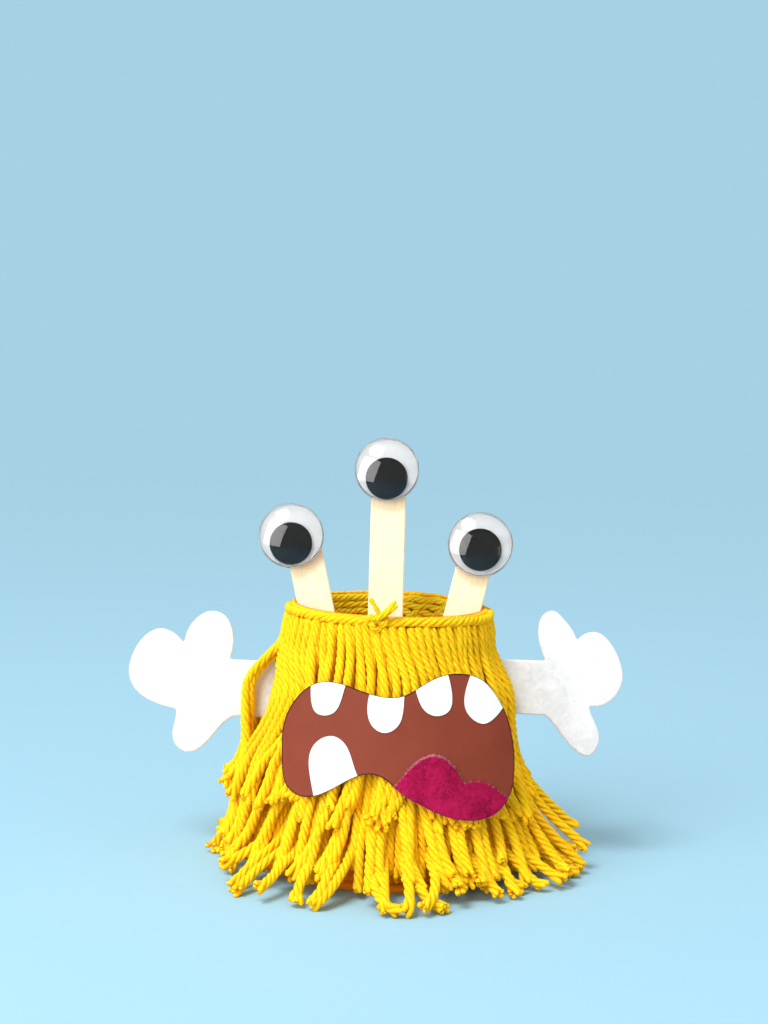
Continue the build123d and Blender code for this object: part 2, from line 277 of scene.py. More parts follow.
# ---------------------------------------------------------------- materials
def yarn_material(name, tones, groove_shade):
    """Acrylic yarn: fibres along each ply in three tones, and painted shade down in the grooves between
    plies.
    """
    material, tree, shader = new_material(name)
    uv = add_node(tree, "ShaderNodeUVMap", uv_map="ply").outputs["UV"]
    depth = add_node(tree, "ShaderNodeAttribute", attribute_name="depth").outputs["Fac"]
    tint = add_node(tree, "ShaderNodeAttribute", attribute_name="tint").outputs["Fac"]
    fibres = noise(tree, stretched(tree, uv, (9, 0.7, 1)), 1.6, 4, 0.7, 0.5)
    patches = noise(tree, object_space(tree), 260, 2)
    outer = ramp(tree, fibres, list(zip((0.25, 0.5, 0.75), tones)))
    varied = mix(tree, math_node(tree, "MULTIPLY", tint, 0.3), outer, (*tones[0], 1))
    varied = mix(tree, math_node(tree, "MULTIPLY", patches, 0.18), varied, (1.0, 0.84, 0.06, 1))
    # painted shade: the groove colour takes over where depth is low, between the plies, where shade falls
    groove_shade_mask = ramp(tree, depth, [(0.40, (0.6, 0.6, 0.6)), (0.76, (0.0, 0.0, 0.0))])
    color = mix(tree, groove_shade_mask, varied, (*groove_shade, 1))
    tree.links.new(color, shader.inputs["Base Color"])
    shader.inputs["Roughness"].default_value = 0.8
    shader.inputs["Specular IOR Level"].default_value = 0.12
    shader.inputs["Sheen Weight"].default_value = 0.05
    shader.inputs["Sheen Roughness"].default_value = 0.5
    shader.inputs["Sheen Tint"].default_value = (1.0, 0.85, 0.3, 1)
    shader.inputs["Subsurface Weight"].default_value = 0.45
    shader.inputs["Subsurface Radius"].default_value = (1.0, 0.5, 0.03)
    shader.inputs["Subsurface Scale"].default_value = 0.0011
    tree.links.new(bump(tree, fibres, 0.8, 0.0002), shader.inputs["Normal"])
    return material


def wood_material():
    """Pale birch craft stick: faint long grain and a few darker pores."""
    material, tree, shader = new_material("stick_birch")
    place = object_space(tree)
    grain = noise(tree, stretched(tree, place, (900, 900, 22)), 1.0, 5, 0.6, 0.3)
    broad = noise(tree, stretched(tree, place, (160, 160, 7)), 1.0, 2, 0.5, 0.5)
    pores = noise(tree, stretched(tree, place, (2200, 2200, 130)), 1.0, 2, 0.5)
    tones = [(0.3, (0.80, 0.66, 0.40)), (0.55, (0.87, 0.76, 0.51)), (0.75, (0.92, 0.83, 0.61))]
    color = ramp(tree, grain, tones)
    color = mix(tree, math_node(tree, "MULTIPLY", broad, 0.35), color, (0.98, 0.90, 0.68, 1))
    speck = ramp(tree, pores, [(0.27, (0.5, 0.5, 0.5)), (0.36, (0, 0, 0))])
    color = mix(tree, speck, color, (0.62, 0.43, 0.22, 1))
    tree.links.new(color, shader.inputs["Base Color"])
    shader.inputs["Roughness"].default_value = 0.62
    tree.links.new(bump(tree, grain, 0.35, 0.00008), shader.inputs["Normal"])
    return material


def paper_material(name, light, dark, roughness=0.7):
    """Craft card or paper: short pulp fibres and slightly cloudy colour."""
    material, tree, shader = new_material(name)
    place = object_space(tree)
    cloud = noise(tree, place, 90, 3, 0.6)
    pulp = noise(tree, stretched(tree, place, (1.0, 1.0, 2.4)), 1500, 4, 0.6, 0.6)
    both = blend_sum(tree, cloud, pulp, 0.55)
    color = ramp(tree, both, [(0.35, dark), (0.65, light)])
    tree.links.new(color, shader.inputs["Base Color"])
    shader.inputs["Roughness"].default_value = roughness
    shader.inputs["Specular IOR Level"].default_value = 0.35
    tree.links.new(bump(tree, pulp, 0.25, 0.00006), shader.inputs["Normal"])
    return material


def cup_material():
    """Printed orange paper with a faint satin coat."""
    material, tree, shader = new_material("cup_orange")
    place = object_space(tree)
    cloud = noise(tree, place, 60, 3, 0.6)
    pulp = noise(tree, place, 1700, 3, 0.6)
    color = ramp(tree, cloud, [(0.3, (0.86, 0.25, 0.002)), (0.7, (0.95, 0.32, 0.003))])
    tree.links.new(color, shader.inputs["Base Color"])
    shader.inputs["Roughness"].default_value = 0.6
    shader.inputs["Specular IOR Level"].default_value = 0.15
    tree.links.new(bump(tree, pulp, 0.15, 0.00005), shader.inputs["Normal"])
    return material


def felt_material(name, light, dark, sheen, scale=420):
    """Pressed craft felt: matted fibres in every direction, with a soft mottle."""
    material, tree, shader = new_material(name)
    place = object_space(tree)
    mottle = noise(tree, place, scale, 4, 0.65, 0.8)
    cloud = noise(tree, place, 130, 2, 0.5)
    matted = noise(tree, place, 2600, 4, 0.7, 1.2)
    mixed = blend_sum(tree, mottle, cloud, 0.6)
    color = ramp(tree, mixed, [(0.34, dark), (0.62, light)])
    tree.links.new(color, shader.inputs["Base Color"])
    shader.inputs["Roughness"].default_value = 0.95
    shader.inputs["Specular IOR Level"].default_value = 0.1
    shader.inputs["Sheen Weight"].default_value = sheen
    shader.inputs["Sheen Roughness"].default_value = 0.4
    shader.inputs["Sheen Tint"].default_value = (*light, 1)
    coarse = bump(tree, mottle, 0.5, 0.00025)
    tree.links.new(bump(tree, matted, 0.6, 0.00012, coarse), shader.inputs["Normal"])
    return material


def eye_white_material():
    material, tree, shader = new_material("eye_white")
    cloud = noise(tree, object_space(tree), 300, 2)
    color = ramp(tree, cloud, [(0.3, (0.86, 0.87, 0.88)), (0.7, (0.92, 0.92, 0.92))])
    tree.links.new(color, shader.inputs["Base Color"])
    shader.inputs["Roughness"].default_value = 0.35
    return material


def pupil_material():
    material, tree, shader = new_material("pupil_black")
    scuffs = noise(tree, object_space(tree), 900, 3)
    roughness = add_node(tree, "ShaderNodeMapRange", {"Value": scuffs, "To Min": 0.40, "To Max": 0.55})
    tree.links.new(roughness.outputs["Result"], shader.inputs["Roughness"])
    color = ramp(tree, scuffs, [(0.3, (0.002, 0.003, 0.004)), (0.7, (0.005, 0.006, 0.007))])
    tree.links.new(color, shader.inputs["Base Color"])
    shader.inputs["Specular IOR Level"].default_value = 0.1
    return material


def dome_material():
    """Thin clear moulded plastic with the faintest unevenness."""
    material, tree, shader = new_material("eye_clear")
    shader.inputs["Base Color"].default_value = (1, 1, 1, 1)
    shader.inputs["Roughness"].default_value = 0.03
    shader.inputs["IOR"].default_value = 1.42
    shader.inputs["Transmission Weight"].default_value = 1.0
    ripple = noise(tree, object_space(tree), 220, 1)
    tree.links.new(bump(tree, ripple, 0.03, 0.0002), shader.inputs["Normal"])
    return material


def glue_material():
    material, tree, shader = new_material("craft_glue")
    cloud = noise(tree, object_space(tree), 500, 2)
    color = ramp(tree, cloud, [(0.3, (0.80, 0.77, 0.66)), (0.7, (0.90, 0.88, 0.80))])
    tree.links.new(color, shader.inputs["Base Color"])
    shader.inputs["Roughness"].default_value = 0.25
    shader.inputs["Transmission Weight"].default_value = 0.3
    return material


# ---------------------------------------------------------------- mesh helpers
def finish_mesh(name, verts, faces, material, smooth=True):
    mesh = bpy.data.meshes.new(name)
    mesh.from_pydata(verts, [], faces)
    mesh.materials.append(material)
    mesh.polygons.foreach_set("use_smooth", [smooth] * len(mesh.polygons))
    mesh.update()
    piece = bpy.data.objects.new(name, mesh)
    bpy.context.scene.collection.objects.link(piece)
    return piece


def smooth_path(points, step, splits=12):
    """Evenly spaced points on a smooth curve through a few chosen ones, first split finely."""
    points = np.array(points, float)
    chord = np.linalg.norm(np.diff(points, axis=0), axis=1)
    knots = np.concatenate([[0], np.cumsum(np.sqrt(chord))])
    tangents = np.gradient(points, knots, axis=0)
    fine = []
    for n in range(len(points) - 1):
        span = knots[n + 1] - knots[n]
        t = np.linspace(0, 1, splits, endpoint=False)[:, None]
        fine.append(
            (2 * t**3 - 3 * t**2 + 1) * points[n] + (t**3 - 2 * t**2 + t) * span * tangents[n]
            + (3 * t**2 - 2 * t**3) * points[n + 1] + (t**3 - t**2) * span * tangents[n + 1]
        )
    fine = np.vstack(fine + [points[-1:]])
    along = np.concatenate([[0], np.cumsum(np.linalg.norm(np.diff(fine, axis=0), axis=1))])
    count = max(4, int(round(along[-1] / step)) + 1)
    even = np.linspace(0, along[-1], count)
    return np.stack([np.interp(even, along, fine[:, axis]) for axis in range(3)], axis=1)


def unit(vectors):
    return vectors / np.maximum(np.linalg.norm(vectors, axis=-1, keepdims=True), 1e-9)


def spike_faces(first, count):
    """Faces for slim closed spikes of four points each: three at the root and then the tip."""
    start = first + 4 * np.arange(count)[:, None]
    sides = ((0, 2, 1), (0, 1, 3), (1, 2, 3), (2, 0, 3))
    return np.concatenate([start + np.array(face) for face in sides])


class Yarn:
    """Collects twisted strands into one mesh, with a ply UV map and depth and tint attributes.

    PITCH is the length of one turn of the twist, PLY_OUT is how far a ply's middle is from the strand's
    and PLY_SIZE is a ply's radius, both as shares of the strand's radius, and HAIRS is the number of
    stray fibres at each step of a ply. TIPS are the smaller rings past a ply's end: how far past it,
    and how large, as shares of the ply's radius.
    """

    PLIES = 4
    SIDES = 7
    STEP = 0.7
    PITCH = 8.6
    PLY_OUT = 0.48
    PLY_SIZE = (0.50, 0.57)
    HAIRS = 0.25
    HAIR_WIDTH = 0.035
    TIPS = ((0.45, 0.84), (0.85, 0.58), (1.05, 0.25))
    TIP_DEPTH = 0.9

    def __init__(self, seed):
        self.random = random.Random(seed)
        self.noise = np.random.default_rng(self.random.randrange(10**6))
        self.verts, self.quads, self.caps, self.hairs = [], [], [], []
        self.uvs, self.depth, self.tint = [], [], []
        self.count = 0

    def strand(self, points, ref, radius, ends=(0.15, 0.5), opening=4.0, pitch=None, keep=None):
        """Twists plies round a path.

        ref is a direction that the path never runs along, radius is given at both ends, ends say how far
        each end's plies part and opening over what length, and keep moves the path clear of other pieces.
        """
        path = smooth_path(points, self.STEP)
        if keep is not None:
            path = keep(path)
        tangent = unit(np.gradient(path, axis=0))
        ref = np.broadcast_to(np.array(ref, float), path.shape)
        across = unit(ref - (ref * tangent).sum(1, keepdims=True) * tangent)
        over = np.cross(tangent, across)
        along = np.concatenate([[0], np.cumsum(np.linalg.norm(np.diff(path, axis=0), axis=1))])
        length = along[-1]
        radius = radius[0] + (radius[1] - radius[0]) * (along / length) ** 1.5
        tint = self.random.random()
        phase = self.random.uniform(0, 2 * math.pi)
        pitch = (pitch or self.PITCH) * self.random.uniform(0.85, 1.3)
        opened = ends[0] * np.clip(1 - along / opening, 0, 1) ** 2
        opened = opened + ends[1] * np.clip(1 - (length - along) / opening, 0, 1) ** 2
        loosened = np.clip(1.2 * opened, 0, 0.9)
        angle = phase - 2 * math.pi * np.cumsum(1 - loosened) * (length / len(along)) / pitch
        part = self.random.uniform(0, math.pi)
        for ply in range(self.PLIES):
            turn = angle + ply * 2 * math.pi / self.PLIES
            self.ply(path, tangent, across, over, along, opened, radius, turn, part, tint)

    def ply(self, path, tangent, across, over, along, opened, radius, angle, part, tint):
        lean = self.random.uniform(0.1, 0.7)
        trim = self.random.uniform(0.0, 1.3)
        offset = self.PLY_OUT * radius * (1 + opened * lean)
        ply_radius = self.random.uniform(*self.PLY_SIZE) * radius
        wobble = self.random.uniform(0.05, 0.2)
        angle = angle + wobble * np.sin(along * 0.55 + self.random.uniform(0, 6.3))
        out = np.cos(angle)[:, None] * across + np.sin(angle)[:, None] * over
        split = math.cos(part) * across + math.sin(part) * over
        side = math.copysign(1, math.cos(angle[-1] - part))
        center = path + out * offset[:, None] + split * (side * 0.42 * opened * radius)[:, None]
        center[-1] -= tangent[-1] * trim * min(1.0, opened[-1] * 2)
        # rounded ends: smaller rings past each end
        past, small = np.array(self.TIPS).T
        before = center[0] - tangent[0] * (ply_radius[0] * past[::-1, None])
        after = center[-1] + tangent[-1] * (ply_radius[-1] * past[:, None])
        center = np.vstack([before, center, after])
        rings = np.concatenate([ply_radius[0] * small[::-1], ply_radius, ply_radius[-1] * small])
        pad = len(self.TIPS)
        across, over, path = (np.pad(v, ((pad, pad), (0, 0)), mode="edge") for v in (across, over, path))
        run = np.pad(along, (pad, pad), mode="edge")
        turn = np.pad(angle, (pad, pad), mode="edge")
        steps = np.arange(self.SIDES) * 2 * math.pi / self.SIDES
        facing = (turn[:, None] + steps[None, :])[:, :, None]
        ring = np.cos(facing) * across[:, None, :] + np.sin(facing) * over[:, None, :]
        verts = center[:, None, :] + ring * rings[:, None, None]
        count = len(center)
        index = self.count + np.arange(count * self.SIDES).reshape(count, self.SIDES)
        nxt = np.roll(index, -1, axis=1)
        quads = np.stack([index[:-1], index[1:], nxt[1:], nxt[:-1]], axis=-1).reshape(-1, 4)
        u0 = np.broadcast_to(np.arange(self.SIDES) / self.SIDES, (count - 1, self.SIDES))
        u1 = u0 + 1 / self.SIDES
        v0 = np.broadcast_to((run[:-1] + tint * 97)[:, None], (count - 1, self.SIDES))
        v1 = np.broadcast_to((run[1:] + tint * 97)[:, None], (count - 1, self.SIDES))
        self.uvs.append(np.stack([u0, v0, u0, v1, u1, v1, u1, v0], axis=-1).reshape(-1, 4, 2))
        self.verts.append(verts.reshape(-1, 3))
        self.quads.append(quads)
        self.caps.append(index[0][::-1])
        self.caps.append(index[-1])
        self.fuzz(verts, center)
        # depth is 0 close to the strand's middle and 1 at its outside; the yarn material paints shade in the
        # grooves where it is low, and the tips get TIP_DEPTH so that they carry little of it
        thick = np.pad(radius, (pad, pad), mode="edge")[:, None]
        reach = np.linalg.norm(verts - path[:, None, :], axis=2)
        outer = np.clip((reach - 0.45 * thick) / (0.55 * thick), 0, 1)
        outer[:pad] = self.TIP_DEPTH
        outer[-pad:] = self.TIP_DEPTH
        self.depth.append(outer.reshape(-1))
        self.tint.append(np.full(count * self.SIDES, tint))
        self.count += count * self.SIDES

    def fuzz(self, verts, center):
        """Stray fibres: slim three-sided spikes that start inside a ply and stand off it."""
        rows = self.noise.integers(1, len(center) - 1, int(len(center) * self.HAIRS))
        sides = self.noise.integers(0, self.SIDES, len(rows))
        root = verts[rows, sides]
        out = unit(root - center[rows])
        tangent = unit(center[rows + 1] - center[rows - 1])
        lean = self.noise.uniform(-1, 1, (len(rows), 1)) * 1.6
        tip = root + (out * 0.7 + tangent * lean) * self.noise.uniform(0.3, 1.1, (len(rows), 1))
        inner = root - out * 0.15
        side = np.cross(out, tangent) * self.HAIR_WIDTH
        corners = (inner + side, inner - side, inner + tangent * 2 * self.HAIR_WIDTH)
        self.hairs.append(np.stack([*corners, tip], axis=1).reshape(-1, 3))

    def build(self, name, material):
        """Makes the mesh; no point of it goes below the floor."""
        hairs = np.vstack(self.hairs)
        spikes = spike_faces(self.count, len(hairs) // 4)
        self.verts.append(hairs)
        self.depth.append(np.ones(len(hairs)))
        self.tint.append(np.full(len(hairs), 0.2))
        verts = np.vstack(self.verts)
        verts[:, 2] = np.maximum(verts[:, 2], LOWEST_YARN_Z)
        quads = np.vstack(self.quads)
        faces = quads.tolist() + [cap.tolist() for cap in self.caps] + spikes.tolist()
        piece = finish_mesh(name, (verts * MM).tolist(), faces, material)
        mesh = piece.data
        layer = mesh.uv_layers.new(name="ply")
        quad_uv = np.vstack(self.uvs).reshape(-1, 2)
        flat = np.zeros((len(mesh.loops), 2))
        flat[: len(quad_uv)] = quad_uv
        layer.data.foreach_set("uv", flat.reshape(-1))
        for key, values in (("depth", self.depth), ("tint", self.tint)):
            attribute = mesh.attributes.new(key, "FLOAT", "POINT")
            attribute.data.foreach_set("value", np.concatenate(values).astype(np.float32))
        return piece


# ---------------------------------------------------------------- yarn pieces
def around(degrees, radius, z):
    """A point round the cup: 0 degrees is the face, and 90 is towards +X."""
    a = math.radians(degrees)
    return (radius * math.sin(a), -radius * math.cos(a), z)


def sideways(degrees):
    a = math.radians(degrees)
    return (math.cos(a), math.sin(a), 0)


def behind_card(path, radius):
    """Keeps a strand's path behind the mouth card, which bends round the cup and leans back with it.

    The path comes free below the card, sooner at the notch in its lower edge, and beside it.
    """
    across = np.clip(path[:, 0] - CARD_MIDDLE_X, -40, 40)
    bend = CARD_BEND_R - np.sqrt(CARD_BEND_R**2 - across**2)
    card_y = CARD_Y - (CARD_Z - path[:, 2]) * math.tan(CARD_LEAN) + bend
    notch = np.exp(-(((path[:, 0] - NOTCH_X) / NOTCH_WIDTH) ** 2)) * NOTCH_RISE
    free = np.clip((CARD_LOW_Z + notch - path[:, 2]) / 3.5, 0, 3) ** 1.5 * 3
    beside = np.clip((np.abs(across) - CARD_HALF_WIDTH) / 3, 0, 2) * 4
    limit = card_y + 0.5 + radius - free - beside
    limit[path[:, 2] > CARD_TOP_Z] = -np.inf
    front = path[:, 1] < 0
    path[:, 1] = np.where(front, np.maximum(path[:, 1], limit), path[:, 1])
    return path


def fade(value, low, high, soft):
    """1 between low and high, falling to 0 over soft on either side."""
    rise = min(1.0, max(0.0, (value - low + soft) / soft))
    fall = min(1.0, max(0.0, (high + soft - value) / soft))
    return rise * fall


# the parting in front of the left arm, in degrees: its sides, how far its front side is pushed, and
# where the strands hang that cross the arm; PARTING_Z is where it is widest
PARTING_FRONT = -26
PARTING_BACK = -78
PARTING_PUSH = 21
PARTING_Z = (45, 51)
CROSSING = -86
# how far out from the cup the strands hang that part there
OUTER_STRAND = 2.8
# how many degrees strands keep from each arm's middle, and between which heights
ARM_CLEAR = 4.4
LEFT_ARM_Z = (37, 58)
RIGHT_ARM_Z = (40, 61)


def beside_arms(root, degrees, radius, z):
    """Strands part to either side where an arm comes through, and show the felt at the left one.

    root is where the strand starts round the cup, which says on which side of the arm it stays.
    """
    if degrees < 0 and radius > cup_radius(z) + OUTER_STRAND:
        gap = fade(z, *PARTING_Z, 12)
        if PARTING_BACK < degrees < PARTING_FRONT:
            degrees += PARTING_PUSH * gap * (degrees - PARTING_FRONT) / (PARTING_BACK - PARTING_FRONT)
        elif -90 < root <= PARTING_BACK:
            radius += 3.0 * gap
            degrees += (CROSSING - degrees) * 0.85 * gap
    heights = LEFT_ARM_Z if degrees < 0 else RIGHT_ARM_Z
    clear = ARM_CLEAR * fade(z, *heights, 6)
    if clear > 0 and abs(root) > 90:
        degrees = math.copysign(max(abs(degrees), 90 + clear), degrees)
    elif clear > 0:
        degrees = math.copysign(min(abs(degrees), 90 - clear), degrees)
    return around(degrees, radius, z)


# how far the longest strands reach over the floor, by angle round the cup
REACH = (
    (-180, 54), (-120, 50), (-90, 46.5), (-72, 47), (-57, 50.5), (-38, 59), (-19, 60.5),
    (-8, 61.5), (0, 64), (5, 62), (13, 56.5), (20, 57), (35, 51), (48, 53),
    (59, 56), (70, 56), (78, 59), (95, 57), (120, 55), (180, 54),
)
# where the innermost strands turn out along the floor
FLOOR_TURN_R = 41.5
# how far the plies part at a cut end, from hardly to wide open
FRAY = (0.35, 1.0)


def place_strand(yarn, degrees, profile, drift, curl, radii, fray, sway=0.0):
    """Lays a strand along rows of share, z and radius, where share is how free the strand is to stray.

    drift turns it round the cup as it falls, curl bends its end and sway leans its upper part.
    """
    rand = yarn.random
    wave, phase, ripple = rand.uniform(0.3, 1.1), rand.uniform(0, 6.3), rand.uniform(0.15, 0.6)
    points = []
    for share, z, radius in profile:
        sideway = curl * share**4 + wave * share * math.sin(phase + 5 * share)
        sideway += ripple * math.sin(phase + z / 5)
        shift = sway * min(1.0, (71 - z) / 16) + drift * share + math.degrees(sideway / radius)
        points.append(beside_arms(degrees, degrees + shift, radius, z))
    keep = partial(behind_card, radius=radii[1]) if abs(degrees) < 75 else None
    opening = rand.uniform(3.5, 6.5)
    yarn.strand(points, sideways(degrees), radii, ends=(0, fray), opening=opening, keep=keep)


def floor_strand(yarn, degrees):
    """The innermost strands: down inside the others, then out along the floor."""
    rand = yarn.random
    reach = np.interp(degrees, *zip(*REACH)) + rand.uniform(-3, 1.5)
    end_z = 1.5 if rand.random() < 0.75 else rand.uniform(2, 6)
    profile = [
        (0.00, 38, cup_radius(38) + 0.9),
        (0.05, 26, cup_radius(26) + 1.2),
        (0.15, 18, cup_radius(18) + 1.9),
        (0.30, 11.5, cup_radius(11) + 4.2 + rand.uniform(0, 2)),
        (0.55, 6 + 0.3 * end_z, 0.55 * FLOOR_TURN_R + 0.45 * reach),
        (0.80, 2.2 + 0.7 * end_z, 0.25 * FLOOR_TURN_R + 0.75 * reach),
        (1.00, end_z, reach),
    ]
    fray = rand.uniform(*FRAY)
    place_strand(yarn, degrees, profile, rand.gauss(0, 4.5), rand.gauss(0, 3), (1.15, 1.44), fray)


def filler_strand(yarn, degrees):
    """Strands in the shade between the others, which end short of the floor."""
    rand = yarn.random
    end_z = rand.uniform(1.5, 8)
    profile = [
        (0.00, 40, cup_radius(40) + 0.9),
        (0.10, 30, cup_radius(30) + 1.1),
        (0.30, 22, cup_radius(22) + 2.4),
        (0.60, 14, cup_radius(14) + 4.4 + rand.uniform(0, 1.5)),
        (1.00, end_z, cup_radius(end_z) + 6 + rand.uniform(0, 2.5) - 0.2 * end_z),
    ]
    drift = rand.gauss(0, 2.2)
    curl = rand.gauss(0, 1.5)
    place_strand(yarn, degrees, profile, drift, curl, (1.15, 1.4), rand.uniform(*FRAY))


def stiff_strand(yarn, degrees, end_z, reach):
    """A long strand that stands out to the side clear of the rest, above the floor."""
    rand = yarn.random
    profile = [
        (0.00, 48, cup_radius(48) + 3.2),
        (0.10, 38, cup_radius(38) + 3.6),
        (0.30, 29, cup_radius(29) + 6.0),
        (0.60, 15 + 0.6 * end_z, cup_radius(20) + 11.5),
        (1.00, end_z, reach),
    ]
    drift = rand.gauss(0, 2)
    curl = rand.gauss(0, 1)
    place_strand(yarn, degrees, profile, drift, curl, (1.2, 1.48), rand.uniform(*FRAY))


def middle_strand(yarn, degrees):
    """The long strands that show below the short ones, ending just above the floor."""
    rand = yarn.random
    side = math.sin(math.radians(degrees)) ** 2
    left = max(0.0, -math.sin(math.radians(degrees)))
    end_z = rand.uniform(2.5, 8.5)
    out = rand.uniform(-1.2, 1.4)
    profile = [
        (0.00, 69.6, cup_radius(69.6) + 0.75),
        (0.00, 62, cup_radius(62) + 0.9),
        (0.00, 52, cup_radius(52) + 1.35),
        (0.05, 40, cup_radius(40) + 1.7 + 0.8 * side),
        (0.15, 31, cup_radius(31) + 2.2 + 2.0 * side),
        (0.30, 25, cup_radius(25) + 3.4 + 2.6 * side),
        (0.50, 19.5, 38.8 + 2.6 * side + 0.3 * out),
        (0.75, 12, 43.6 + 1.2 * side - 1.8 * left + 0.8 * out),
        (1.00, end_z, 49.8 - 3.4 * left + 1.4 * out - 0.25 * end_z),
    ]
    fray = rand.uniform(*FRAY)
    drift = rand.gauss(0, 9 if rand.random() < 0.2 else 2.4)
    place_strand(yarn, degrees, profile, drift, rand.gauss(0, 1.8), (1.15, 1.5), fray)


def short_strand(yarn, degrees):
    """The upper layer: from the header cord down over the long strands."""
    rand = yarn.random
    side = math.sin(math.radians(degrees)) ** 2
    right = max(0.0, math.sin(math.radians(degrees)))
    sway = 9.5 * math.exp(-(((degrees - 2) / 30) ** 2))
    end_z = rand.uniform(17, 24)
    out = rand.uniform(-0.8, 1.4)
    lift = rand.uniform(-0.5, 0.5) * (1 + 0.7 * side)
    stray = rand.random() < 0.15
    drift = rand.choice((-12, 12)) if stray else rand.gauss(0, 3.5)
    profile = [
        (0.00, header_height(degrees) - rand.uniform(1.2, 2.0), cup_radius(70) + 1.35),
        (0.00, 66.5, cup_radius(66.5) + 1.6),
        (0.04, 62, cup_radius(62) + 1.9 - 0.4 * right + 0.3 * lift),
        (0.10, 57, cup_radius(57) + 3.0 + 0.8 * side - 0.8 * right + lift),
        (0.20, 50, cup_radius(50) + 3.8 + 2.6 * side - 0.9 * right + lift),
        (0.35, 40, cup_radius(40) + 4.2 + 2.8 * side - 1.6 * right + lift + 0.4 * stray),
        (0.58, 31, cup_radius(31) + 4.7 + 3.4 * side - 1.9 * right + 0.2 * out + 1.2 * stray),
        (0.75, 26, cup_radius(26) + 5.2 + 4.2 * side - 1.6 * right + 0.4 * out + 1.7 * stray),
        (1.00, end_z, cup_radius(end_z) + 7.4 + 3.6 * side - 0.8 * right + out + 2 * stray),
    ]
    fray = rand.uniform(*FRAY)
    place_strand(yarn, degrees, profile, drift, rand.gauss(0, 1.6), (1.15, 1.5), fray, sway)


def header_height(degrees):
    """The header cord sags at both sides and rides on the rim at the back."""
    a = math.radians(degrees)
    return HEADER_Z - 0.5 * math.sin(a) ** 2 + 0.7 * max(0.0, -math.cos(a)) ** 2


# the angle, end height and reach of each long strand that stands clear at the sides and back
STIFF = ((66, 3, 56), (75, 2.2, 58.5), (85, 6.5, 59), (94, 9, 56.5), (148, 5, 56), (-127, 7, 54))

LAYERS = (
    ("fringe_long_filler", "fringe_long", filler_strand, 96, 2),
    ("fringe_long_floor", "fringe_long", floor_strand, 62, 2),
    ("fringe_long_middle", "fringe_long", middle_strand, 68, 3),
    ("fringe_short_top", "fringe_short", short_strand, 76, 3),
)


def make_fringe(material):
    """Three layers of strands, each in pieces of neighbouring strands."""
    for name, node, strand, count, parts in LAYERS:
        for part in range(parts):
            yarn = Yarn(f"{name} {part}")
            for n in range(count * part // parts, count * (part + 1) // parts):
                strand(yarn, (n + 0.25) * 360 / count - 180 + yarn.random.gauss(0, 0.5))
            if name == "fringe_long_filler" and part == 0:
                for degrees, end_z, reach in STIFF:
                    stiff_strand(yarn, degrees, end_z, reach)
            piece = yarn.build(f"{name}_{part + 1}", material)
            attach(piece, "cup")
            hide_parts(node)


def make_header(material):
    """The cord round the rim, its knot and the two tails in front of the middle stick."""
    rand = random.Random("header")
    ring = Yarn("header ring")
    points = []
    for n in range(49):
        degrees = -170 + 356 * n / 48
        wave = 0.12 * math.sin(math.radians(5 * degrees))
        height = header_height(degrees) + wave + rand.uniform(-0.1, 0.1)
        points.append(around(degrees, cup_radius(71) + 1.35, height))
    ring.strand(points, (0, 0, 1), (1.3, 1.3), ends=(0, 0), pitch=6.6)
    rim = []
    for n in range(41):
        degrees = -140 + 280 * n / 40
        rim.append(around(degrees, CUP_TOP_R + 0.3, 72.2 + rand.uniform(-0.08, 0.08)))
    ring.strand(rim, (0, 0, 1), (0.8, 0.8), ends=(0, 0), pitch=5.0)
    piece = ring.build("header_ring", material)
    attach(piece, "cup")
    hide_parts("header_cord")

    knot = Yarn("header knot")
    center = np.array(around(-6.5, cup_radius(71) + 2.0, 71.6))
    turns = np.linspace(0.35, 2 * math.pi - 0.35, 26)
    loop = [
        center + np.array([
            0.95 * (math.sin(t) + 2 * math.sin(2 * t)),
            -0.55 * math.sin(3 * t) - 0.3,
            0.62 * (math.cos(t) - 2 * math.cos(2 * t)),
        ])
        for t in turns
    ]
    knot.strand(loop, (0.1, -1, 0.2), (1.0, 1.0), ends=(0, 0), pitch=5.5)
    left_tail = center + np.array(((0, -0.6, 0.4), (0.3, -1.3, 2.4), (-0.5, -1.5, 4.2), (-2.0, -1.4, 6.3)))
    right_tail = center + np.array(((-0.6, -0.6, 0.6), (0.9, -1.5, 1.9), (2.9, -1.7, 3.3), (4.9, -1.5, 5.4)))
    knot.strand(left_tail, (0, -1, 0), (0.7, 0.6), ends=(0, 0.3), opening=2)
    knot.strand(right_tail, (0, -1, 0), (0.95, 1.1), ends=(0, 0.9), opening=3)
    piece = knot.build("header_knot", material)
    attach(piece, "cup")
    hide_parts("header_cord")


def make_inner_yarn(material):
    """Loose rows of yarn against the back of the recess, the lower ones wavy at the right."""
    inner = Yarn("inner yarn")
    rows = ((71.7, 40, 140, 0.15), (69.7, 41, 139, 0.25), (67.7, 42, 138, 0.5), (65.8, 44, 136, 0.5))
    for z, first, last, wave in rows:
        points = []
        for n in range(19):
            turn = first + (last - first) * n / 18
            ripple = wave * math.sin(turn * 0.42 + z) * (1.6 if turn < 90 else 0.6)
            depth = 25.9 - 0.3 * abs(math.sin(turn * 0.3 + z))
            angle = math.radians(turn)
            points.append((depth * math.cos(angle), depth * math.sin(angle), z + ripple))
        inner.strand(points, (0, 0, 1), (1.15, 1.15), ends=(0.4, 0.6))
    piece = inner.build("inner_yarn_rows", material)
    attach(piece, "cup")
    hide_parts("inner_yarn")


